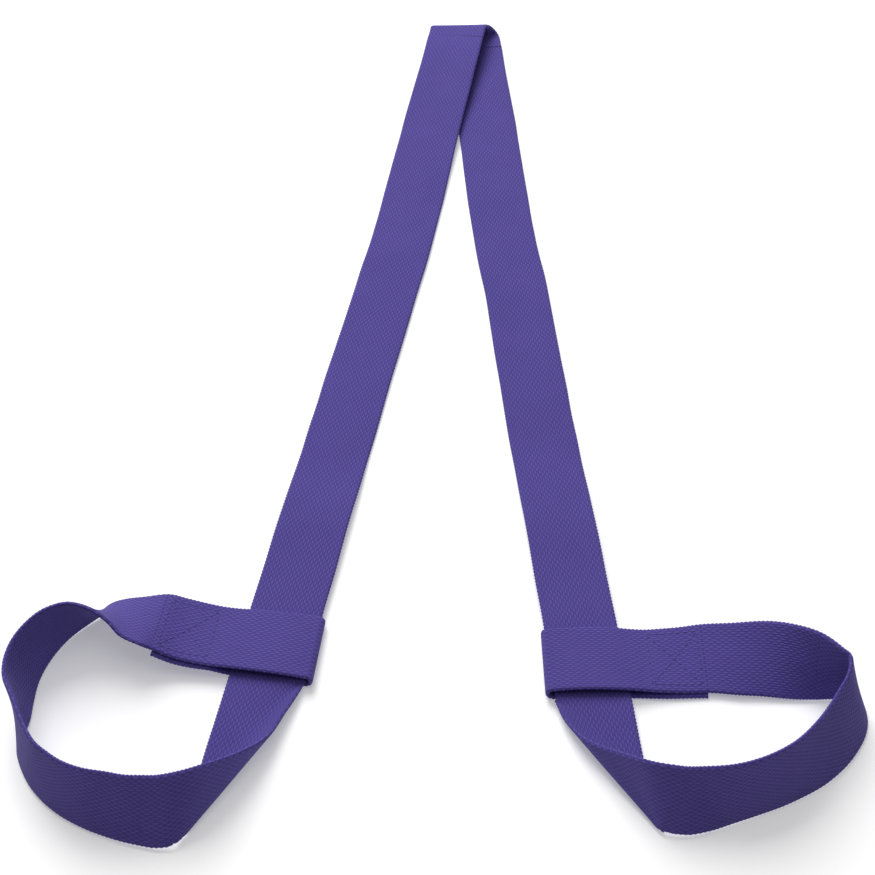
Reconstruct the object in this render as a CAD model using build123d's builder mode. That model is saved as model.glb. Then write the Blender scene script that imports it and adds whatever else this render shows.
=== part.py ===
"""Stretching strap: one strip of flat cotton webbing with a slip loop at each end.

The strip lies folded in half on a flat surface. The fold is the crown, at the far end (+Y), and two legs run from
it towards the near end. At the end of each leg the strip folds up over a slanting line, goes round as a standing
loop, and comes back to its own leg, where its sewn eye (the keeper) wraps the leg and slides along it.
Origin: middle of the strap's outline, on the surface that it lies on. +Z is up. Millimetres.
"""
import os
from math import cos, radians, sin

from build123d import *

os.makedirs("parts", exist_ok=True)

# webbing
width = 38.0
thickness = 2.2
layer_gap = 0.3  # free play of a leg inside its keeper, above and below

# crown: the soft fold between the two legs
fold_y = 294.0
fold_height = 10.0
fold_width = 45.5
fold_middle_x = 15.8
left_crown_x = 12.2
right_crown_x = 19.5

# legs, by the azimuth of the direction that each runs in from the crown
left_azimuth = 258.7
right_azimuth = 276.3
bend_at = 400.0  # along the leg, from the crown to the bend that lifts the loop
bend_gap = 0.2
ramp_start = 370.0
left_clear_of_right = 126.0  # the left leg lies over the right one up to here
left_on_floor = 160.0

# keepers, by their distance down the leg and the azimuth of the strip from the fold to the loop
left_keeper_at = 495.0
right_keeper_at = 498.0
left_run_azimuth = 172.0
right_run_azimuth = 1.5
leg_underside = thickness + layer_gap
front_underside = leg_underside + thickness + layer_gap
fold_radius = front_underside / 2 + thickness / 2  # middle of the webbing in the keeper's fold
fold_x = -20.4  # centre of the keeper's fold, from the middle of the leg
eye_end = 21.0  # where the front layer leaves the leg's edge
seam_start = 29.0
seam_end = 60.0
seam_gap = 0.1
seam_foot = 21.0  # where the back layer leaves the surface, if the seam is lifted
right_seam_rise = (0.0, 0.0)  # underside of the back layer at the seam's start and at its end
left_seam_rise = (2.3, 9.8)

# slanting fold at the end of a leg, by distances from the crown
right_fold_at = 514.0
left_fold_at = 508.0

# box-and-cross seam
stitch_length = 2.6
stitch_pitch = 3.6
stitch_width = 0.7
stitch_height = 0.3
seam_box = (26.0, 30.0)


def direction(azimuth, rise=0.0):
    """Unit vector at an azimuth from +X and a rise above the horizontal, in degrees."""
    a, r = radians(azimuth), radians(rise)
    return Vector(cos(a) * cos(r), sin(a) * cos(r), sin(r))


def side_plane(origin, azimuth):
    """Vertical plane along the strip: x runs along it, y is up."""
    along = direction(azimuth)
    return Plane(origin=origin, x_dir=along, z_dir=Vector(0, 0, 1).cross(along) * -1)


def save(part, name):
    """Label a finished piece and write it."""
    part.part.label = name
    export_step(part.part, f"parts/{name}.step")


def outline(underside):
    """Corners of a strip's side profile from the points of its underside."""
    top = [(x, z + thickness) for x, z in reversed(underside)]
    return underside + top


left_plane = side_plane((left_crown_x, fold_y, 0), left_azimuth)
right_plane = side_plane((right_crown_x, fold_y, 0), right_azimuth)
crown_cut = Plane(origin=(0, fold_y, 0), z_dir=(0, 1, 0))

# --- legs ------------------------------------------------------------------------------------------------------
left_underside = [
    (-10, fold_height - thickness),
    (20, fold_height - thickness),
    (left_clear_of_right, leg_underside + 0.1),
    (left_on_floor, 0),
    (ramp_start, 0),
    (bend_at - bend_gap, leg_underside),
]
right_underside = [
    (-10, 0),
    (ramp_start, 0),
    (bend_at - bend_gap, leg_underside),
]

for leg_name, leg_plane, leg_profile in (
    ("left_leg", left_plane, left_underside),
    ("right_leg", right_plane, right_underside),
):
    with BuildPart() as leg:
        with BuildSketch(leg_plane):
            with BuildLine():
                Polyline(*outline(leg_profile), close=True)
            make_face()
        extrude(amount=width / 2, both=True)
        split(bisect_by=crown_cut, keep=Keep.BOTTOM)
    save(leg, leg_name)

# --- crown bend ------------------------------------------------------------------------------------------------
with BuildPart() as crown_bend:
    with BuildSketch(
        Plane(origin=(fold_middle_x, fold_y, fold_height / 2), x_dir=(0, 1, 0), z_dir=(1, 0, 0))
    ):
        Circle(fold_height / 2)
        Circle(fold_height / 2 - thickness, mode=Mode.SUBTRACT)
        split(bisect_by=Plane.YZ, keep=Keep.TOP)
    extrude(amount=fold_width / 2, both=True)
save(crown_bend, "crown_bend")

# --- standing loops --------------------------------------------------------------------------------------------
# The fold at a leg's end is a fan of slanting rulings, each from the strip's outer edge to its inner edge. The outer
# edge of the leg becomes the upper edge of the standing loop.
right_fan = [
    ((58.6, -225.4, 3.5), (101.3, -272.4, 1.4)),
    ((62.5, -237.0, 6.0), (101.3, -286.2, 1.2)),
    ((69.5, -247.8, 9.5), (103.3, -290.3, 1.5)),
    ((81.8, -258.7, 17.0), (105.0, -291.9, 1.8)),
    ((100.5, -272.8, 33.0), (107.3, -293.1, 1.4)),
]
left_fan = [
    ((-70.0, -214.2, 3.5), (-121.6, -278.9, 1.4)),
    ((-77.0, -228.5, 6.0), (-122.0, -292.1, 1.2)),
    ((-87.3, -248.8, 10.5), (-124.4, -296.2, 1.4)),
    ((-98.3, -261.2, 20.0), (-125.8, -298.0, 1.6)),
    ((-117.9, -274.9, 32.0), (-127.6, -299.6, 1.4)),
]

# Each station gives the strip's lower edge (x, y), the height of its underside there, and the direction from it to
# the upper edge: azimuth and rise. The strip goes from the fold, round the loop, to the keeper.
right_stations = [
    (112, -294.0, 0.6, 92, 60),
    (118.5, -294.2, 0.2, 97, 60),
    (126, -292.8, 0, 105, 62),
    (140.5, -288.0, 0, 109, 70),
    (151, -284.2, 0, 110, 72.5),
    (171, -276.3, 0, 114, 70),
    (189.4, -266.2, 0, 127, 62.5),
    (203.4, -252.6, 0, 142, 59),
    (210.6, -240.4, 0, 156, 60),
    (212.3, -232.5, 0, 160, 65),
    (211.6, -226.3, 0, 164, 70),
    (207.8, -221.8, 0, 150, 76),
    (198, -220.7, 0, 100, 78),
    (188.3, -221.0, 0, 88, 61),
    (176.2, -221.0, 0.3, 89, 42),
    (163, -220.2, 1.0, 89, 26),
    (150, -219.8, 1.6, 91, 15),
]
left_stations = [
    (-131, -301, 0.6, 100, 56),
    (-136.5, -301.2, 0.2, 87, 53),
    (-143.4, -300, 0, 78, 56.5),
    (-153.2, -297.6, 0, 74, 61.5),
    (-163.1, -294.2, 0, 69, 64),
    (-173.3, -289.8, 0, 65, 69),
    (-185, -283, 0, 55, 73),
    (-194.2, -275.2, 0, 38, 75),
    (-201.2, -266.8, 0, 14, 76),
    (-206.3, -257.6, 0, -8, 75),
    (-209.0, -249.0, 0, -4, 79),
    (-208.6, -243.0, 0, 35, 84),
    (-207.4, -238.2, 0, 125, 81),
    (-206.3, -233.0, 0, 149, 78),
    (-206.0, -224.3, 0, 163, 78),
    (-204.8, -210.5, 0, 178, 79),
    (-200.3, -197.3, 0, 198, 80),
    (-192.7, -185, 0, 228, 79),
    (-184.2, -176.4, 0, 259, 74),
    (-178, -171.0, 0.3, 276, 62),
    (-172.0, -165.5, 1.5, 279, 44),
    (-163.6, -165, 5, 274, 29),
    (-153, -165.4, 8, 272, 18),
]


def loop_sections(first, fan, stations, last):
    """Planes across the strip, with their widths, from the leg's end through the loop to the keeper's seam."""
    rulings = [(first.origin - first.x_dir * (width / 2), first.origin + first.x_dir * (width / 2))]
    rulings += [(Vector(*outer), Vector(*inner)) for outer, inner in fan]
    for x, y, underside, azimuth, rise in stations:
        lower_edge = Vector(x, y, underside + thickness / 2 * cos(radians(rise)))
        rulings.append((lower_edge + direction(azimuth, rise) * width, lower_edge))
    rulings.append((last.origin - last.x_dir * (width / 2), last.origin + last.x_dir * (width / 2)))
    centres = [(outer + inner) * 0.5 for outer, inner in rulings]
    sections = [(first, width)]
    for i in range(1, len(rulings) - 1):
        outer, inner = rulings[i]
        across = (inner - outer).normalized()
        along = centres[i + 1] - centres[i - 1]
        along = along - across * along.dot(across)
        sections.append((Plane(origin=centres[i], x_dir=across, z_dir=along), (inner - outer).length))
    return sections + [(last, width)]


def band(sections, name):
    """One span of the standing strip, ruled between sections."""
    with BuildPart() as span:
        for section, section_width in sections:
            with BuildSketch(section):
                Rectangle(section_width, thickness)
        loft(ruled=True)
    save(span, name)


def stitch_rows():
    """Places and angles of the seam's stitches, on the seam's own middle."""
    long, wide = seam_box
    corners = [(-long / 2, -wide / 2), (long / 2, -wide / 2), (long / 2, wide / 2), (-long / 2, wide / 2)]
    rows = [(0, 1), (1, 2), (2, 3), (3, 0), (0, 2), (1, 3)]
    for a, b in rows:
        start, end = Vector(*corners[a]), Vector(*corners[b])
        count = int((end - start).length / stitch_pitch)
        angle = Vector(1, 0).get_signed_angle(end - start)
        for i in range(count):
            middle = start + (end - start) * ((i + 0.5) / count)
            yield middle.X, middle.Y, angle


def slip_loop(side, leg_plane, leg_azimuth, fold_at, keeper_at, run_azimuth, seam_rise, fan, stations, spans):
    """The leg's end, the standing loop and the keeper of one side."""
    # webbing of the leg that the keeper slides on
    with BuildPart() as leg_end:
        with BuildSketch(leg_plane):
            with BuildLine():
                Polyline(
                    *outline([(bend_at, leg_underside), (fold_at, leg_underside)]),
                    close=True,
                )
            make_face()
        extrude(amount=width / 2, both=True)
    save(leg_end, f"{side}_leg_end")

    # keeper: the strip's own end, wrapped under the leg and sewn back on itself
    keeper_origin = leg_plane.from_local_coords((keeper_at, 0, 0))
    keeper_plane = side_plane(keeper_origin, run_azimuth)
    start_rise, end_rise = seam_rise
    above_back = thickness + seam_gap
    with BuildPart() as front:
        with BuildSketch(keeper_plane):
            with BuildLine():
                Polyline(
                    *outline(
                        [
                            (fold_x, front_underside),
                            (eye_end, front_underside),
                            (seam_start, start_rise + above_back),
                            (seam_end, end_rise + above_back),
                        ]
                    ),
                    close=True,
                )
            make_face()
        extrude(amount=width / 2, both=True)
    save(front, f"{side}_keeper_front")

    with BuildPart() as back:
        with BuildSketch(keeper_plane):
            with BuildLine():
                Polyline(
                    *outline([(fold_x, 0), (seam_foot, 0), (seam_start, start_rise), (seam_end, end_rise)]),
                    close=True,
                )
            make_face()
        extrude(amount=width / 2, both=True)
    save(back, f"{side}_keeper_back")

    fold_plane = Plane(
        origin=keeper_plane.from_local_coords((fold_x, fold_radius, 0)),
        x_dir=keeper_plane.x_dir,
        z_dir=keeper_plane.z_dir,
    )
    with BuildPart() as fold:
        with BuildSketch(fold_plane):
            Circle(fold_radius)
            Circle(fold_radius - thickness, mode=Mode.SUBTRACT)
            split(bisect_by=Plane.YZ, keep=Keep.BOTTOM)
        extrude(amount=width / 2, both=True)
    save(fold, f"{side}_keeper_fold")

    seam_top = above_back + thickness
    seam_from = keeper_plane.from_local_coords((seam_start, start_rise + seam_top, 0))
    seam_to = keeper_plane.from_local_coords((seam_end, end_rise + seam_top, 0))
    seam_along = (seam_to - seam_from).normalized()
    level = Vector(0, 0, 1).cross(keeper_plane.x_dir)
    seam_plane = Plane(origin=(seam_from + seam_to) * 0.5, x_dir=seam_along, z_dir=seam_along.cross(level))
    with BuildPart() as stitching:
        with BuildSketch(seam_plane):
            for x, y, angle in stitch_rows():
                with Locations(Location((x, y), angle)):
                    SlotOverall(stitch_length, stitch_width)
        extrude(amount=stitch_height)
    save(stitching, f"{side}_seam_stitching")

    # standing loop, every section's x going from the outer edge of the leg to the inner one
    across = Vector(0, 0, 1).cross(direction(leg_azimuth))
    if side == "left":
        across = across * -1
    first = Plane(
        origin=leg_plane.from_local_coords((fold_at, leg_underside + thickness / 2, 0)),
        x_dir=across,
        z_dir=direction(leg_azimuth),
    )
    last = Plane(
        origin=keeper_plane.from_local_coords((seam_end, end_rise + above_back + thickness / 2, 0)),
        x_dir=level * -1,
        z_dir=keeper_plane.x_dir * -1,
    )
    sections = loop_sections(first, fan, stations, last)
    for name, start, end in spans:
        band(sections[start : end + 1], f"{side}_{name}")


slip_loop(
    "right", right_plane, right_azimuth, right_fold_at, right_keeper_at, right_run_azimuth, right_seam_rise,
    right_fan, right_stations,
    [("loop_corner", 0, 8), ("loop_near_band", 8, 13), ("loop_end_turn", 13, 19), ("loop_far_band", 19, 23)],
)
slip_loop(
    "left", left_plane, left_azimuth, left_fold_at, left_keeper_at, left_run_azimuth, left_seam_rise,
    left_fan, left_stations,
    [("loop_corner", 0, 8), ("loop_near_band", 8, 14), ("loop_end_turn", 14, 24), ("loop_far_band", 24, 29)],
)
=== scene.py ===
# %% [markdown]
# # Stretching strap
# One long strip of flat cotton webbing is folded in half at the crown. Each end turns up on its edge, goes round as a
# standing loop, and comes back to its own leg, where its sewn eye (the keeper) wraps the leg and slides along it.
# This lesson weaves the strip flat, in lengths, and then lays every length along one smooth guide, because webbing
# bends and twists freely but hardly stretches.

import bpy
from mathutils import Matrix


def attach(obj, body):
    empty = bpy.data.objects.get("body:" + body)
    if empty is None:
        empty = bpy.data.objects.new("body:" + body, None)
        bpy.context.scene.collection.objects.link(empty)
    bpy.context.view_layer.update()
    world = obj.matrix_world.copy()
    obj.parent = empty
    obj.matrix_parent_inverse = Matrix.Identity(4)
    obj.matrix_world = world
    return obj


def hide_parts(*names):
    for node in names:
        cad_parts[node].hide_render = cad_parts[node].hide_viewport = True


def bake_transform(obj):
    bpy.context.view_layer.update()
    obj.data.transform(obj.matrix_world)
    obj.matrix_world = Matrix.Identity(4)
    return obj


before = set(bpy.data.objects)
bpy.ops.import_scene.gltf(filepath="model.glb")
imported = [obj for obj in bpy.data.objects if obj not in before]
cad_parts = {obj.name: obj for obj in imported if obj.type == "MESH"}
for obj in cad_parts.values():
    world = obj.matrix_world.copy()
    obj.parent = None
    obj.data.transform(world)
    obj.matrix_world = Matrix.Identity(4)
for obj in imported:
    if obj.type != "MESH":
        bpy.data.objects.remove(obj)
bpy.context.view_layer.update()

# %% Tools used all through the lesson
from math import cos, pi, radians, sin, sqrt

import bmesh
import bpy
from mathutils import Vector, noise

MM = 0.001
scene = bpy.context.scene

# %% [markdown]
# ## Camera, floor and light
# The camera comes first, so that every later step can be judged in the same view. It looks down at the strap from
# its near end, at 52 degrees above the floor, far enough away that the two legs converge only a little.

# %% Camera
VIEW_CENTRE = Vector((-0.002, -0.053, 0.0))
VIEW_DISTANCE = 0.963
VIEW_ELEVATION = radians(52)
LENS = 70.1

camera_data = bpy.data.cameras.new("view")
camera_data.lens = LENS
camera = bpy.data.objects.new("view", camera_data)
towards_camera = Vector((0, -cos(VIEW_ELEVATION), sin(VIEW_ELEVATION)))
camera.location = VIEW_CENTRE + towards_camera * VIEW_DISTANCE
camera.rotation_euler = (-towards_camera).to_track_quat("-Z", "Y").to_euler()
camera_data.clip_start = 0.01
scene.collection.objects.link(camera)
scene.camera = camera
print("camera at", [round(v, 3) for v in camera.location])

# %% [markdown]
# The floor is a plain white sheet, a little below the webbing's own underside so that the two never share a plane.
# It is lit to full white, and glows a little so that the shadows on it stay pale. The light is soft and comes from
# above and behind the strap, so that faces that look up are bright, and bands that stand on edge and face the camera
# are dark.

# %% Floor
FLOOR_HALF = 6.0
FLOOR_DROP = 0.0006
FLOOR_WHITE = 0.78
FLOOR_GLOW = 0.3

floor_mesh = bmesh.new()
bmesh.ops.create_grid(floor_mesh, x_segments=1, y_segments=1, size=FLOOR_HALF)
bmesh.ops.translate(floor_mesh, verts=floor_mesh.verts, vec=(0, 0, -FLOOR_DROP))
floor_data = bpy.data.meshes.new("floor")
floor_mesh.to_mesh(floor_data)
floor_mesh.free()
floor = bpy.data.objects.new("floor", floor_data)
scene.collection.objects.link(floor)

floor_paint = bpy.data.materials.new("white floor")
floor_paint.use_nodes = True
floor_shader = floor_paint.node_tree.nodes["Principled BSDF"]
floor_shader.inputs["Base Color"].default_value = (FLOOR_WHITE, FLOOR_WHITE, FLOOR_WHITE, 1)
floor_shader.inputs["Emission Color"].default_value = (1, 1, 1, 1)
floor_shader.inputs["Emission Strength"].default_value = FLOOR_GLOW
floor_shader.inputs["Roughness"].default_value = 0.9
floor_shader.inputs["Specular IOR Level"].default_value = 0.1
floor_data.materials.append(floor_paint)

# %% Soft light
SKY_STRENGTH = 0.17
LIGHTS = {
    "back soft box": ((-0.6, 1.5, 1.9), 1.5, 68.0),
    "top soft box": ((0.0, 0.1, 2.4), 1.8, 14.0),
}
for light_name, (place, size, power) in LIGHTS.items():
    light_data = bpy.data.lights.new(light_name, "AREA")
    light_data.shape = "SQUARE"
    light_data.size = size
    light_data.energy = power
    light = bpy.data.objects.new(light_name, light_data)
    light.location = place
    light.rotation_euler = (VIEW_CENTRE - Vector(place)).to_track_quat("-Z", "Y").to_euler()
    scene.collection.objects.link(light)

scene.world = bpy.data.worlds.new("studio")
scene.world.use_nodes = True
sky = scene.world.node_tree.nodes["Background"]
sky.inputs["Color"].default_value = (1, 1, 1, 1)
sky.inputs["Strength"].default_value = SKY_STRENGTH
scene.view_settings.view_transform = "Standard"
print("lights", list(LIGHTS))

# %% [markdown]
# ## The webbing's measurements
# The strip is 38 mm wide and about 2 mm thick, with a woven edge that is rounder and thinner than its middle. Its
# warp is a row of plied cotton ends, side by side, that pass over and under a thick weft. So every 1.24 mm across
# there is a rib, and every 4.1 mm along a rib rises once, with its neighbours half a step later.

# %% Measurements
WIDTH = 38 * MM
THICKNESS = 2.2 * MM
RIB = 1.24 * MM
PICK = 2.05 * MM
ROW = PICK / 4
COLUMNS = 26
SELVEDGE = 1.3 * MM
SCALLOP = 0.2 * MM
EDGE_DRIFT = 0.35 * MM
EDGE_LEAST = 0.3
RIPPLE = 0.3 * MM

HALF = WIDTH / 2
SKIN = THICKNESS / 2


def heading(azimuth, rise=0.0):
    """Unit vector at an azimuth from +X and a rise above the horizontal, in degrees."""
    a, r = radians(azimuth), radians(rise)
    return Vector((cos(a) * cos(r), sin(a) * cos(r), sin(r)))


def smooth(t):
    """Eases a share from 0 to 1."""
    t = max(0.0, min(1.0, t))
    return t * t * (3 - 2 * t)


# %% [markdown]
# ## A guide for the strip
# A guide is a list of rulings: straight lines from the strip's outer edge to its inner edge. A ruling may run across
# the strip at a slant, which is how a flat strip folds over without stretching. Its slant is how much further along
# the strip the inner end lies. Between rulings the guide is a smooth cubic, measured along both of its edges, so a
# strip woven to a flat length keeps that length when it is laid.

# %% Guide
GUIDE_STEPS = 24  # rulings from one station to the next


class Guide:
    """Rulings (outer end, inner end, slant) joined smoothly and measured along the strip."""

    def __init__(self, stations):
        middles = [(Vector(a) + Vector(b)) / 2 for a, b, slant in stations]
        rulings = [Vector(b) - Vector(a) for a, b, slant in stations]
        slants = [slant for a, b, slant in stations]
        chords = [0.0]
        for i in range(len(stations) - 1):
            chords.append(chords[-1] + self.edge_step(middles, rulings, i))
        tables = [(values, self.slopes(chords, values)) for values in (middles, rulings, slants)]
        self.middles, self.rulings, self.slants, self.knots = [], [], [], []
        for i in range(len(stations) - 1):
            self.knots.append(len(self.middles))
            for k in range(GUIDE_STEPS):
                self.add(*(self.cubic(v, s, i, k / GUIDE_STEPS, chords[i + 1] - chords[i]) for v, s in tables))
        self.knots.append(len(self.middles))
        self.add(middles[-1], rulings[-1], slants[-1])
        self.marks = [0.0]
        for i in range(len(self.middles) - 1):
            self.marks.append(self.marks[-1] + self.edge_step(self.middles, self.rulings, i))
        self.length = self.marks[-1]

    def add(self, middle, ruling, slant):
        self.middles.append(middle)
        self.rulings.append(ruling.normalized() * sqrt(WIDTH**2 + slant**2))
        self.slants.append(slant)

    @staticmethod
    def edge_step(middles, rulings, i):
        """How far the two edges go from one ruling to the next, on average."""
        step = middles[i + 1] - middles[i]
        spread = (rulings[i + 1] - rulings[i]) / 2
        return ((step + spread).length + (step - spread).length) / 2

    @staticmethod
    def slopes(chords, values):
        found = []
        last = len(values) - 1
        for i in range(last + 1):
            if 0 < i < last:
                before, after = chords[i] - chords[i - 1], chords[i + 1] - chords[i]
                rise_in = (values[i] - values[i - 1]) / before
                rise_out = (values[i + 1] - values[i]) / after
                found.append((rise_in * after + rise_out * before) / (before + after))
            else:
                a, b = max(i - 1, 0), min(i + 1, last)
                found.append((values[b] - values[a]) / (chords[b] - chords[a]))
        return found

    @staticmethod
    def cubic(values, slopes, i, t, step):
        a, b = values[i], values[i + 1]
        u = 1 - t
        bend = slopes[i] * (step * t * u * u) - slopes[i + 1] * (step * t * t * u)
        return a * (u * u * (1 + 2 * t)) + b * (t * t * (3 - 2 * t)) + bend

    def mark(self, station):
        """Distance along the guide of a station."""
        return self.marks[self.knots[station]]

    def place(self, distance, across=0.0):
        """The place, the ruling and the upward direction at a point of the flat strip."""
        w = across / WIDTH
        low, high = 0, len(self.marks) - 2
        while low < high:
            half = (low + high + 1) // 2
            if self.marks[half] + self.slants[half] * w <= distance:
                low = half
            else:
                high = half - 1
        mark_a = self.marks[low] + self.slants[low] * w
        mark_b = self.marks[low + 1] + self.slants[low + 1] * w
        share = (distance - mark_a) / (mark_b - mark_a)
        before, after = max(low - 1, 0), min(low + 2, len(self.marks) - 1)
        p, a, b, q = (self.middles[i] + self.rulings[i] * w for i in (before, low, low + 1, after))
        ruling = self.rulings[low].lerp(self.rulings[low + 1], share).normalized()
        along = (b - p).lerp(q - a, max(0.0, min(1.0, share)))
        return a.lerp(b, share), ruling, along.cross(ruling).normalized()


# %% [markdown]
# ## Where the strip runs
# Two straight legs come down from the crown, the left one over the right one. The outer edge of a leg is the edge
# that faces the other leg. Below its keeper each leg folds up over a slanting line, so its outer edge becomes the
# upper edge of a standing loop, and its inner edge becomes the lower one. The loop goes round to its own leg again.

# %% Legs
CROWN_Y = 294 * MM
LEGS = {
    "left": {"crown_x": 12.2 * MM, "azimuth": 258.7, "keeper_at": 495 * MM, "side": -1},
    "right": {"crown_x": 19.5 * MM, "azimuth": 276.3, "keeper_at": 498 * MM, "side": 1},
}


def leg_point(side, distance, height=0.0, shift=0.0):
    """A point on the middle line of a leg, by its distance from the crown."""
    leg = LEGS[side]
    start = Vector((leg["crown_x"] + shift, CROWN_Y, height))
    return start + heading(leg["azimuth"]) * distance


def leg_ruling(side, outer_at, inner_at, outer_height, inner_height):
    """A ruling of a flat leg: distances and heights of its two ends, in millimetres."""
    across = heading(LEGS[side]["azimuth"] + 90 * LEGS[side]["side"]) * HALF
    outer = leg_point(side, outer_at * MM, outer_height * MM) - across
    inner = leg_point(side, inner_at * MM, inner_height * MM) + across
    return outer, inner, (inner_at - outer_at) * MM


# distance, height of the middle of the webbing, roll of the inner edge, and shift to the right: mm and degrees
LEG_LINES = {
    "left": [
        (0, 11.6, -8, 0), (8, 11.6, -8, 0), (25, 10.4, -7.5, 0), (50, 8.0, -6, 0), (80, 5.0, -4.2, 0),
        (105, 3.2, -3, 0.3), (130, 2.0, -1.2, 0.8), (160, 1.15, 0, 1.7), (200, 1.1, 0, 2.2), (232, 1.1, 0, 1.95),
        (265, 1.1, 0, 1.4), (320, 1.1, 0, 0.7), (365, 1.1, 0, 0.4), (385, 2.35, 0, 0.4), (405, 3.6, 0, 0.3),
        (450, 3.6, 0, 0.2), (495, 3.6, 0, 0),
    ],
    "right": [
        (0, 1.1, 0, 2.6), (8, 1.1, 0, 2.5), (50, 1.1, 0, 1.8), (90, 1.1, 0, 1.4), (125, 1.1, 0, 0.4),
        (165, 1.1, 0, -0.7), (200, 1.1, 0, -0.8), (235, 1.1, 0, 0), (300, 1.1, 0, -0.4), (365, 1.1, 0, -0.4),
        (385, 2.35, 0, -0.3), (405, 3.6, 0, -0.2), (450, 3.6, 0, 0), (498, 3.6, 0, 0.2),
    ],
}

# %% [markdown]
# The fold at the end of a leg is a fan of slanting rulings. The first two lie in the flat leg. The others rise
# about the fold, until the last one stands almost upright, where the near band of the loop begins.

# %% Folds at the legs' ends
# rulings of the flat leg: distance of the outer end, of the inner end, and the two heights
FOLD_STARTS = {
    "right": [(514, 514, 3.6, 3.6), (520.5, 572, 3.5, 1.4)],
    "left": [(508, 508, 3.6, 3.6), (514.5, 588, 3.5, 1.4)],
}
# rulings of the risen part: outer end, inner end, slant
FOLDS = {
    "right": [
        ((62.5, -237, 6), (101.3, -286.2, 1.8), 53), ((69.5, -247.8, 9.5), (103.3, -290.3, 2.0), 45),
        ((81.8, -258.7, 17), (105.0, -291.9, 2.1), 27), ((100.5, -272.8, 33), (107.3, -293.1, 1.8), 3),
    ],
    "left": [
        ((-77, -228.5, 6), (-122.0, -292.1, 1.8), 70), ((-87.3, -248.8, 10.5), (-124.4, -296.2, 2.0), 54),
        ((-98.3, -261.2, 20), (-125.8, -298.0, 2.1), 33.5), ((-117.9, -274.9, 32), (-127.6, -299.6, 1.8), 12),
    ],
}

# %% Standing loops
# lower edge x and y, height of the underside there, azimuth and rise of the ruling from the lower edge to the upper
LOOPS = {
    "right": [
        (112, -294.0, 0.6, 92, 60), (118.5, -294.2, 0.2, 97, 60), (126, -292.8, 0, 105, 62),
        (140.5, -288.0, 0, 109, 70), (151, -284.2, 0, 110, 72.5), (171, -276.3, 0, 114, 70),
        (189.4, -266.2, 0, 127, 62.5), (203.4, -252.6, 0, 142, 59), (210.6, -240.4, 0, 156, 60),
        (212.3, -232.5, 0, 160, 65), (211.6, -226.3, 0, 164, 70), (207.8, -221.8, 0, 150, 76),
        (198, -220.7, 0, 100, 78), (188.3, -221.0, 0, 88, 61), (176.2, -221.0, 0.3, 89, 42),
        (163, -220.2, 1.0, 89, 26), (150, -219.8, 1.6, 91, 15),
    ],
    "left": [
        (-131, -301, 0.6, 92, 54), (-136.5, -301.2, 0.2, 87, 54), (-143.4, -300, 0, 82, 56.5),
        (-153.2, -297.6, 0, 76, 61), (-163.1, -294.2, 0, 70, 64), (-173.3, -289.8, 0, 65, 69),
        (-185, -283, 0, 55, 73), (-194.2, -275.2, 0, 38, 75), (-201.2, -266.8, 0, 14, 76),
        (-206.3, -257.6, 0, -8, 75), (-209.0, -249.0, 0, 5, 80), (-208.6, -243.0, 0, 60, 84),
        (-207.4, -238.2, 0, 120, 82), (-206.3, -233.0, 0, 146, 79), (-206.0, -224.3, 0, 163, 78),
        (-204.8, -210.5, 0, 178, 79), (-200.3, -197.3, 0, 198, 80), (-192.7, -185, 0, 228, 79),
        (-184.2, -176.4, 0, 259, 74), (-178, -171.0, 0.3, 276, 62), (-172.0, -165.5, 1.5, 279, 44),
        (-163.6, -165, 5, 274, 29), (-153, -165.4, 8, 272, 18),
    ],
}
# the stations where the near band, the end turn and the far band begin
LOOP_PARTS = {"right": (2, 7, 13), "left": (2, 8, 18)}

# %% Keepers
# distance from the middle of the leg towards the loop, height of the middle, roll of the outer edge: mm and degrees
KEEPERS = {
    "right": {
        "run": 1.5,
        "top": [
            (60, 4.6, 6), (50, 3.7, 2), (40, 3.5, -1), (31, 3.8, -4), (23, 5.1, -5), (13, 6.7, -4), (0, 7.2, -4),
            (-11, 7.0, -3.8), (-17, 6.6, -3.4),
        ],
        "back": [(-12, 1.1, 0), (0, 1.1, 0), (20, 1.1, 0), (40, 1.15, 0), (60, 2.2, 5)],
    },
    "left": {
        "run": 172.0,
        "top": [
            (60, 13.3, 10), (50, 9.6, 6), (40, 7.3, 6), (31, 6.3, 6.5), (23, 6.5, 6.5), (13, 7.1, 4.5), (0, 7.2, 3.4),
            (-11, 7.0, 3.0), (-17, 6.6, 2.6),
        ],
        "back": [(-12, 1.1, 0), (0, 1.1, 0), (14, 1.2, 0.5), (22, 2.2, 3), (31, 4.0, 6), (40, 5.0, 6), (50, 7.2, 6),
                 (60, 10.9, 10)],
    },
}
FOLD_MIDDLE = -18.6  # the keeper's fold stands at this distance from the middle of the leg, mm
BACK_DROP = 0.6  # the layer under the leg lies this much nearer than the one over it, mm
HEM_DROP = 1.2  # and its hem this much nearer again


def keeper_ruling(side, x, height, roll=0.0, drop=0.0):
    """A ruling of the keeper; drop moves it towards the near end of the strap."""
    leg, run = LEGS[side], KEEPERS[side]["run"]
    middle = leg_point(side, leg["keeper_at"]) + heading(run) * (x * MM)
    middle += Vector((0, -drop, height)) * MM
    across = heading(90 + run, roll) * HALF
    return middle + across, middle - across, 0.0


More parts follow.
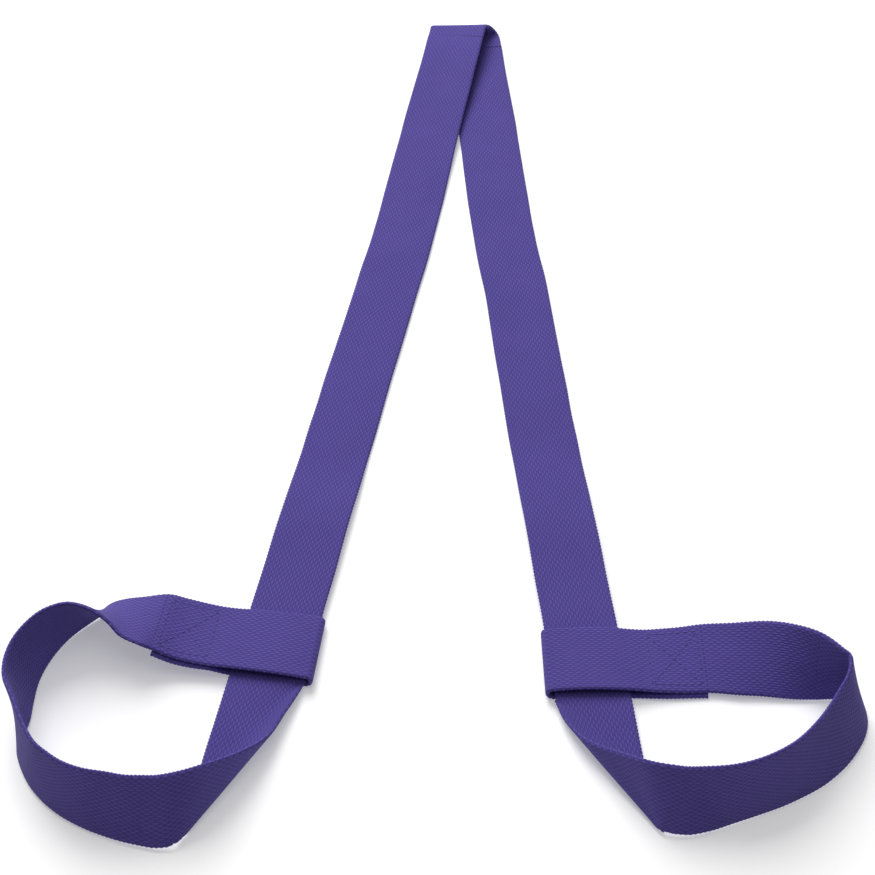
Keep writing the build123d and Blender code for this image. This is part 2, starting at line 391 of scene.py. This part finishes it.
def keeper_stations(side):
    """Rulings of the keeper: over the leg, round its edge, and back under it to the hem."""
    keeper = KEEPERS[side]
    stations = [keeper_ruling(side, x, height, roll) for x, height, roll in keeper["top"]]
    top_height, top_roll = keeper["top"][-1][1:]
    back_height = keeper["back"][0][1]
    radius = (top_height - back_height) / 2
    for turn in (35, 70, 105, 140, 170):
        upper = (1 + cos(radians(turn))) / 2
        x = FOLD_MIDDLE - radius * sin(radians(turn))
        height = back_height + 2 * radius * upper
        stations.append(keeper_ruling(side, x, height, top_roll * upper, BACK_DROP * (1 - upper)))
    for x, height, roll in keeper["back"]:
        stations.append(keeper_ruling(side, x, height, roll, BACK_DROP + HEM_DROP * smooth((x - 10) / 30)))
    return stations


# %% One guide for each half of the strap
CROWN_ARC = 10  # the crown piece reaches this far down each leg, mm


def half_stations(side):
    """Every ruling of one half, from its crown end to its hem, and where its lengths begin."""
    stations, starts = [], {}
    for distance, height, roll, shift in LEG_LINES[side]:
        middle = leg_point(side, distance * MM, height * MM, shift * MM)
        across = heading(LEGS[side]["azimuth"] + 90 * LEGS[side]["side"], roll) * HALF
        stations.append((middle - across, middle + across, 0.0))
    starts["corner"] = len(stations)
    stations += [leg_ruling(side, *values) for values in FOLD_STARTS[side]]
    stations += [(Vector(a) * MM, Vector(b) * MM, slant * MM) for a, b, slant in FOLDS[side]]
    for part, at in zip(("near_band", "end_turn", "far_band"), LOOP_PARTS[side]):
        starts[part] = len(stations) + at
    for x, y, underside, azimuth, rise in LOOPS[side]:
        lower = Vector((x, y, underside)) * MM + Vector((0, 0, SKIN * cos(radians(rise))))
        stations.append((lower + heading(azimuth, rise) * WIDTH, lower, 0.0))
    starts["keeper"] = len(stations)
    stations += keeper_stations(side)
    return stations, starts


GUIDES, STARTS = {}, {}
for half in LEGS:
    half_list, STARTS[half] = half_stations(half)
    GUIDES[half] = Guide(half_list)
    print(half, "half of the strip is", round(GUIDES[half].length, 3), "m")

# %% [markdown]
# ## Weaving a length of webbing
# A length starts as a flat grid in its own flat measurements, which also become its UV map, so the weave runs on
# from one length to the next. It is made solid while it is flat. Its edges are thinned and scalloped there too,
# because that is simple in the flat. Only then is every corner moved to its place on the guide.

# %% Weave flat, then lay
EDGE_CROWDING = 1.5  # above 1, the columns stand closer together near the edges


def flat_strip(start, end):
    """A flat solid strip: x is the distance along it, y is across it, z is its thickness."""
    bm = bmesh.new()
    rows = max(2, round((end - start) / ROW))
    bmesh.ops.create_grid(bm, x_segments=rows, y_segments=COLUMNS, size=0.5)
    for v in bm.verts:
        t = v.co.y * 2
        v.co.x = start + (v.co.x + 0.5) * (end - start)
        v.co.y = HALF * (EDGE_CROWDING * t - (EDGE_CROWDING - 1) * t**3)
    bmesh.ops.solidify(bm, geom=bm.faces[:], thickness=THICKNESS)
    heights = [v.co.z for v in bm.verts]
    lift = (max(heights) + min(heights)) / 2
    bmesh.ops.translate(bm, verts=bm.verts, vec=(0, 0, -lift))
    bmesh.ops.recalc_face_normals(bm, faces=bm.faces)
    return bm


def write_cloth_uv(bm, side):
    """Flat measurements, in metres, as the UV map. The two halves of the strip join at the crown."""
    cloth = bm.loops.layers.uv.new("cloth")
    for face in bm.faces:
        for loop in face.loops:
            loop[cloth].uv = (loop.vert.co.y * side, loop.vert.co.x * side)


def shape_selvedge(bm):
    """Thins the woven edges and gives them the small waves that the weft makes as it turns round."""
    for v in bm.verts:
        inside = HALF - abs(v.co.y)
        if inside < SELVEDGE:
            t = 1 - inside / SELVEDGE
            v.co.z *= max(EDGE_LEAST, sqrt(max(0.0, 1 - t * t)))
        edge = 1 - smooth(inside / (2 * SELVEDGE))
        wave = cos(2 * pi * v.co.x / PICK) * SCALLOP
        drift = noise.noise((v.co.x * 38, 7 if v.co.y > 0 else 3, 0.5)) * EDGE_DRIFT
        v.co.y += (wave + drift) * edge * (1 if v.co.y > 0 else -1)


def lay(bm, guide, sag=1.0):
    """Moves every corner of a flat piece to its place along the guide."""
    for v in bm.verts:
        place, ruling, up = guide.place(v.co.x, v.co.y)
        ripple = noise.noise((v.co.x * 22, v.co.y * 30, 1.7)) * RIPPLE * sag
        v.co = place + up * (v.co.z + ripple)


def finish_piece(bm, name, material):
    """Turns a bmesh into a named object with a material and smooth shading."""
    data = bpy.data.meshes.new(name)
    for face in bm.faces:
        face.smooth = True
    bm.to_mesh(data)
    bm.free()
    data.materials.append(material)
    piece = bpy.data.objects.new(name, data)
    scene.collection.objects.link(piece)
    return piece


# %% [markdown]
# ## The finish: dyed cotton
# The weave is a node group that the webbing and the thread share. It reads the flat measurements and gives a
# height, for the bump and for the painted shade between the ribs, and the fine fibres of the yarn.

# %% Woven cotton group
def socket(tree, name, kind, into, default=None):
    made = tree.interface.new_socket(name=name, in_out=into, socket_type=kind)
    if default is not None:
        made.default_value = default
    return made


def maths(tree, operation, a, b=None, c=None):
    """A Math node; numbers are set on its sockets and other values are linked."""
    node = tree.nodes.new("ShaderNodeMath")
    node.operation = operation
    for i, value in enumerate((a, b, c)):
        if value is None:
            continue
        if isinstance(value, (int, float)):
            node.inputs[i].default_value = value
        else:
            tree.links.new(value, node.inputs[i])
    return node.outputs[0]


def weave_group():
    """Plain weave: warp ribs side by side, rising over every second pick, half a step later on each rib."""
    tree = bpy.data.node_groups.new("plain weave", "ShaderNodeTree")
    socket(tree, "Cloth", "NodeSocketVector", "INPUT")
    socket(tree, "Rib", "NodeSocketFloat", "INPUT", RIB)
    socket(tree, "Pick", "NodeSocketFloat", "INPUT", PICK)
    socket(tree, "Height", "NodeSocketFloat", "OUTPUT")
    socket(tree, "Fibre", "NodeSocketFloat", "OUTPUT")
    given = tree.nodes.new("NodeGroupInput").outputs
    out = tree.nodes.new("NodeGroupOutput").inputs
    parts = tree.nodes.new("ShaderNodeSeparateXYZ")
    tree.links.new(given["Cloth"], parts.inputs[0])
    loose = tree.nodes.new("ShaderNodeTexNoise")
    loose.inputs["Scale"].default_value = 160
    loose.inputs["Detail"].default_value = 1
    tree.links.new(given["Cloth"], loose.inputs["Vector"])
    drift = maths(tree, "MULTIPLY_ADD", loose.outputs["Fac"], 0.5, -0.25)
    across = maths(tree, "DIVIDE", parts.outputs["X"], given["Rib"])
    rib = maths(tree, "FLOOR", across)
    inside = maths(tree, "SUBTRACT", maths(tree, "SUBTRACT", across, rib), 0.5)
    crown = maths(tree, "MULTIPLY_ADD", maths(tree, "MULTIPLY", inside, inside), -4, 1)
    along = maths(tree, "DIVIDE", parts.outputs["Y"], given["Pick"])
    stepped = maths(tree, "ADD", maths(tree, "ADD", along, rib), drift)
    rise = maths(tree, "MULTIPLY_ADD", maths(tree, "COSINE", maths(tree, "MULTIPLY", stepped, pi)), 0.5, 0.5)
    full = maths(tree, "POWER", rise, 0.8)
    height = maths(tree, "MULTIPLY", maths(tree, "POWER", crown, 0.6), maths(tree, "MULTIPLY_ADD", full, 0.75, 0.25))
    tree.links.new(height, out["Height"])
    stretch = tree.nodes.new("ShaderNodeMapping")
    stretch.inputs["Scale"].default_value = (9000, 1800, 1)
    stretch.inputs["Rotation"].default_value = (0, 0, radians(18))
    tree.links.new(given["Cloth"], stretch.inputs["Vector"])
    fibres = tree.nodes.new("ShaderNodeTexNoise")
    fibres.inputs["Scale"].default_value = 1
    fibres.inputs["Detail"].default_value = 3
    tree.links.new(stretch.outputs[0], fibres.inputs["Vector"])
    tree.links.new(fibres.outputs["Fac"], out["Fibre"])
    return tree


PLAIN_WEAVE = weave_group()
print("weave group has", len(PLAIN_WEAVE.nodes), "nodes")

# %% Dye, with its deep colour also used as painted shade
DYE = (0.106, 0.078, 0.350, 1)
# the deep colour is darker dye and also painted shade, for the low places between the ribs
DYE_DEEP_AND_SHADE = (0.040, 0.027, 0.150, 1)


def cotton(name, rib, pick):
    """A new cotton material with its weave, sized to the yarn: the material, its flat measurements and the weave."""
    material = bpy.data.materials.new(name)
    material.use_nodes = True
    tree = material.node_tree
    cloth = tree.nodes.new("ShaderNodeUVMap")
    cloth.uv_map = "cloth"
    weave = tree.nodes.new("ShaderNodeGroup")
    weave.node_tree = PLAIN_WEAVE
    weave.inputs["Rib"].default_value = rib
    weave.inputs["Pick"].default_value = pick
    tree.links.new(cloth.outputs[0], weave.inputs["Cloth"])
    return material, cloth.outputs[0], weave


def dye_and_shade_between(tree, shader, shade_and_tone):
    """Colours the cloth between the deep colour, where the factor is 0, and the bright dye, where it is 1; the factor
    carries painted shade for the weave's low places and, on the webbing, changes in tone.
    """
    dye = tree.nodes.new("ShaderNodeMix")
    dye.data_type = "RGBA"
    dye.inputs["A"].default_value = DYE_DEEP_AND_SHADE
    dye.inputs["B"].default_value = DYE
    tree.links.new(shade_and_tone, dye.inputs["Factor"])
    tree.links.new(dye.outputs["Result"], shader.inputs["Base Color"])


def add_relief(tree, shader, height, strength, distance):
    """Raises the surface by a bump."""
    relief = tree.nodes.new("ShaderNodeBump")
    relief.inputs["Strength"].default_value = strength
    relief.inputs["Distance"].default_value = distance
    tree.links.new(height, relief.inputs["Height"])
    tree.links.new(relief.outputs[0], shader.inputs["Normal"])


# %% Webbing material
def webbing_material():
    """Dyed cotton webbing: weave relief, painted shade in the gaps between ribs, and slow changes in the dye."""
    material, cloth, weave = cotton("purple cotton webbing", RIB, PICK)
    tree = material.node_tree
    shader = tree.nodes["Principled BSDF"]
    height, fibre = weave.outputs["Height"], weave.outputs["Fibre"]
    patch = tree.nodes.new("ShaderNodeTexNoise")
    patch.inputs["Scale"].default_value = 34
    patch.inputs["Detail"].default_value = 4
    tree.links.new(cloth, patch.inputs["Vector"])
    # painted shade: the low places of the weave between the ribs are coloured darker; the fibre and patch noise are
    # changes in the dye's tone
    shade_and_tone = maths(tree, "MULTIPLY_ADD", height, 0.75, 0.2)
    shade_and_tone = maths(tree, "ADD", shade_and_tone, maths(tree, "MULTIPLY_ADD", fibre, 0.5, -0.25))
    shade_and_tone = maths(tree, "ADD", shade_and_tone, maths(tree, "MULTIPLY_ADD", patch.outputs["Fac"], 0.3, -0.15))
    dye_and_shade_between(tree, shader, shade_and_tone)
    tree.links.new(maths(tree, "MULTIPLY_ADD", fibre, 0.2, 0.75), shader.inputs["Roughness"])
    add_relief(tree, shader, maths(tree, "ADD", height, maths(tree, "MULTIPLY", fibre, 0.25)), 0.7, 0.35 * MM)
    shader.inputs["Specular IOR Level"].default_value = 0.2
    shader.inputs["Sheen Weight"].default_value = 0.12
    shader.inputs["Sheen Roughness"].default_value = 0.5
    shader.inputs["Sheen Tint"].default_value = (0.55, 0.5, 0.9, 1)
    return material


WEBBING = webbing_material()

# %% Thread material
THREAD_TWIST = 0.5 * MM


def thread_material():
    """Cotton thread in the webbing's own dye, a little deeper, with its twist as fine relief and as painted shade in
    the twist's grooves.
    """
    material, _, twist = cotton("purple cotton thread", THREAD_TWIST, THREAD_TWIST)
    tree = material.node_tree
    shader = tree.nodes["Principled BSDF"]
    height, fibre = twist.outputs["Height"], twist.outputs["Fibre"]
    # painted shade: the grooves of the twist are coloured darker
    dye_and_shade_between(tree, shader, maths(tree, "MULTIPLY_ADD", height, 0.5, 0.3))
    tree.links.new(maths(tree, "MULTIPLY_ADD", fibre, 0.2, 0.7), shader.inputs["Roughness"])
    add_relief(tree, shader, height, 0.4, 0.1 * MM)
    return material


THREAD = thread_material()

# %% [markdown]
# ## The crown
# At the crown the strip bends back over itself in a soft teardrop that stays open on the right and is pressed
# flatter on the left. The lower layer lies a little to the right of the upper one, so the bend also drifts.

# %% Crown guide
CROWN_TURNS = 12
CROWN_BULGE = 0.9  # how far the bend stands out, as a share of half its height
CROWN_LEAD = CROWN_ARC + 12  # the guide starts this far down each leg, mm


def crown_stations():
    """Rulings from the upper layer, round the bend, to the lower layer, all from left to right."""
    stations = []
    for distance in (CROWN_LEAD, CROWN_ARC, 4):
        middle, ruling, _ = GUIDES["left"].place(distance * MM)
        stations.append((middle + ruling * HALF, middle - ruling * HALF, 0.0))
    top, top_ruling, _ = GUIDES["left"].place(0)
    bottom, bottom_ruling, _ = GUIDES["right"].place(0)
    for k in range(1, CROWN_TURNS):
        turn = pi * k / CROWN_TURNS
        share = (1 - cos(turn)) / 2
        ends = []
        for w in (-1, 1):
            upper, lower = top - top_ruling * (w * HALF), bottom + bottom_ruling * (w * HALF)
            end = upper.lerp(lower, share)
            end.y += (upper.z - lower.z) / 2 * CROWN_BULGE * sin(turn)
            ends.append(end)
        stations.append((*ends, 0.0))
    for distance in (4, CROWN_ARC, CROWN_LEAD):
        middle, ruling, _ = GUIDES["right"].place(distance * MM)
        stations.append((middle - ruling * HALF, middle + ruling * HALF, 0.0))
    return stations


CROWN = Guide(crown_stations())
crown_from, crown_to = CROWN.mark(1), CROWN.mark(len(CROWN.knots) - 2)
print("the crown piece is", round((crown_to - crown_from) * 1000, 1), "mm long")

crown = flat_strip(crown_from, crown_to)
write_cloth_uv(crown, 1)
shape_selvedge(crown)
lay(crown, CROWN)
crown_piece = finish_piece(crown, "webbing_crown", WEBBING)
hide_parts("crown_bend")
crown_middle = (GUIDES["left"].place(0)[0] + GUIDES["right"].place(0)[0]) / 2
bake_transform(crown_piece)

# %% [markdown]
# ## Legs, loops and keepers
# The same few lines weave every other length: each leg, the four lengths of its loop, and its keeper. Only the
# keeper and its seam hang from a body of their own.


def share_between(piece, guide, first, last):
    """Works out which way the length runs from its first ruling to its last, which nothing uses, then bakes its
    transform.
    """
    a, across_a, _ = guide.place(first)
    b, across_b, _ = guide.place(last)
    along = across_a.cross(across_b)
    if along.length < 0.05:
        along = (b - a) - across_a * (b - a).dot(across_a)
    along.normalize()
    if (b - a).dot(along) < 0:
        along = -along
    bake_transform(piece)


def weave_length(name, side, first, last, sag=1.0):
    """One length of the webbing of a half, laid along its guide."""
    bm = flat_strip(first, last)
    write_cloth_uv(bm, LEGS[side]["side"])
    shape_selvedge(bm)
    lay(bm, GUIDES[side], sag)
    return finish_piece(bm, name, WEBBING)


for side in LEGS:
    guide, starts = GUIDES[side], STARTS[side]
    leg_last = guide.mark(starts["corner"])
    piece = weave_length(f"webbing_{side}_leg", side, CROWN_ARC * MM, leg_last)
    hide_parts(f"{side}_leg", f"{side}_leg_end")
    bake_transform(piece)

# %% Loops
# the part where each length of a loop ends, after the part where it begins
PART_ENDS = {"corner": "near_band", "near_band": "end_turn", "end_turn": "far_band", "far_band": "keeper"}
for side in LEGS:
    guide, starts = GUIDES[side], STARTS[side]
    for part, next_part in PART_ENDS.items():
        first, last = guide.mark(starts[part]), guide.mark(starts[next_part])
        piece = weave_length(f"webbing_{side}_{part}", side, first, last)
        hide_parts(f"{side}_loop_{part}")
        share_between(piece, guide, first, last)

# %% Keepers
KEEPER_SAG = 0.3  # the sewn keepers ripple less than the loose webbing

for side in LEGS:
    guide, starts = GUIDES[side], STARTS[side]
    first, last = guide.mark(starts["keeper"]), guide.length
    piece = weave_length(f"webbing_{side}_keeper", side, first, last, KEEPER_SAG)
    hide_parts(f"{side}_keeper_front", f"{side}_keeper_back", f"{side}_keeper_fold")
    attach(piece, f"{side}_keeper")

# %% [markdown]
# ## The seams
# The hem under each keeper is sewn to it with a box and a cross. A stitch is one small bead, sunk halfway into the
# webbing. The seam is drawn flat, like the webbing, and then laid along the same guide.

# %% Stitches
SEAM_LONG, SEAM_WIDE = 26 * MM, 30 * MM
SEAM_MIDDLE = 44.5 * MM
STITCH_LONG, STITCH_WIDE, STITCH_HIGH = 2.6 * MM, 0.75 * MM, 0.7 * MM
STITCH_PITCH = 3.6 * MM


def seam_stitches():
    """Middles and angles of the stitches: a box and its two diagonals."""
    corners = [Vector((x * SEAM_LONG / 2, y * SEAM_WIDE / 2)) for x, y in ((-1, -1), (1, -1), (1, 1), (-1, 1))]
    for a, b in ((0, 1), (1, 2), (2, 3), (3, 0), (0, 2), (1, 3)):
        line = corners[b] - corners[a]
        count = int(line.length / STITCH_PITCH)
        for i in range(count):
            yield corners[a] + line * ((i + 0.5) / count), line.normalized()


for side in LEGS:
    guide, starts = GUIDES[side], STARTS[side]
    middle = guide.mark(starts["keeper"]) + (KEEPERS[side]["top"][0][0] * MM - SEAM_MIDDLE)
    seam = bmesh.new()
    for centre, line in seam_stitches():
        bead = bmesh.ops.create_uvsphere(seam, u_segments=8, v_segments=5, radius=0.5)["verts"]
        for v in bead:
            x, y = v.co.x * STITCH_LONG, v.co.y * STITCH_WIDE
            v.co = (
                middle + centre.x + x * line.x - y * line.y,
                centre.y + x * line.y + y * line.x,
                SKIN + v.co.z * STITCH_HIGH,
            )
    write_cloth_uv(seam, LEGS[side]["side"])
    lay(seam, guide, KEEPER_SAG)
    bmesh.ops.recalc_face_normals(seam, faces=seam.faces)
    print(side, "seam has", len(list(seam_stitches())), "stitches")
    piece = finish_piece(seam, f"thread_{side}_seam", THREAD)
    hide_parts(f"{side}_seam_stitching")
    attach(piece, f"{side}_keeper")
